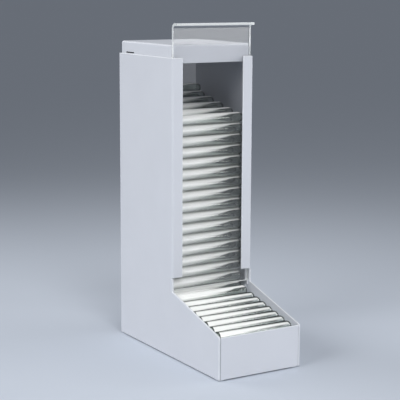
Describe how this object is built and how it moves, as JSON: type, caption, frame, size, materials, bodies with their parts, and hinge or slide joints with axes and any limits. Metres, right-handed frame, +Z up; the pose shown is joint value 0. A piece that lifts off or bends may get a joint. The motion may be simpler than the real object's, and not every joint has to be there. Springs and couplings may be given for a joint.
{
  "type": "culture tube dispenser",
  "caption": "Upright white plastic dispenser with a lift-off lid, a clear lift-up door and a sloping ramp that feeds stored glass culture tubes into an open front trough.",
  "frame": {"origin": "on the ground, under the middle of the body's outline", "axes": "+Z up, -Y towards the open trough, +X to the right seen from the front"},
  "size_m": [0.111, 0.233, 0.3945],
  "materials": {
    "white_sheet": "white sheet plastic, satin gloss, cut and bent",
    "clear_sheet": "clear acrylic sheet, glossy, polished edges",
    "clear_bumper": "clear soft bumper, smooth",
    "tube_glass": "clear glass tube, smooth, fire-polished mouth"
  },
  "bodies": {
    "body": {"left_side_panel": "white_sheet", "right_side_panel": "white_sheet", "back_panel": "white_sheet", "front_panel": "white_sheet", "base_panel": "white_sheet", "feed_ramp": "white_sheet", "left_door_guide": "white_sheet", "right_door_guide": "white_sheet", "left_door_stop": "white_sheet", "right_door_stop": "white_sheet", "lid_ledge": "white_sheet", "front_left_foot": "clear_bumper", "front_right_foot": "clear_bumper", "back_left_foot": "clear_bumper", "back_right_foot": "clear_bumper", "trough_tubes": "tube_glass", "gate_tube": "tube_glass", "front_stack": "tube_glass", "tower_tubes_1": "tube_glass", "tower_tubes_2": "tube_glass", "tower_tubes_3": "tube_glass", "tower_tubes_4": "tube_glass", "tower_tubes_5": "tube_glass", "tower_tubes_6": "tube_glass"},
    "door": {"door": "clear_sheet"},
    "lid": {"lid": "white_sheet"},
    "front_tube": {"front_tube": "tube_glass"}
  },
  "joints": [
    {"name": "door_slide", "type": "slide", "parent": "body", "child": "door", "axis": [0, 0, 1], "range_m": [0, 0.26]},
    {"name": "lid_lift", "type": "slide", "parent": "body", "child": "lid", "axis": [0, 0, 1], "range_m": [0, 0.06]},
    {"name": "front_tube_lift", "type": "slide", "parent": "body", "child": "front_tube", "axis": [0, 0, 1], "range_m": [0, 0.06]}
  ]
}
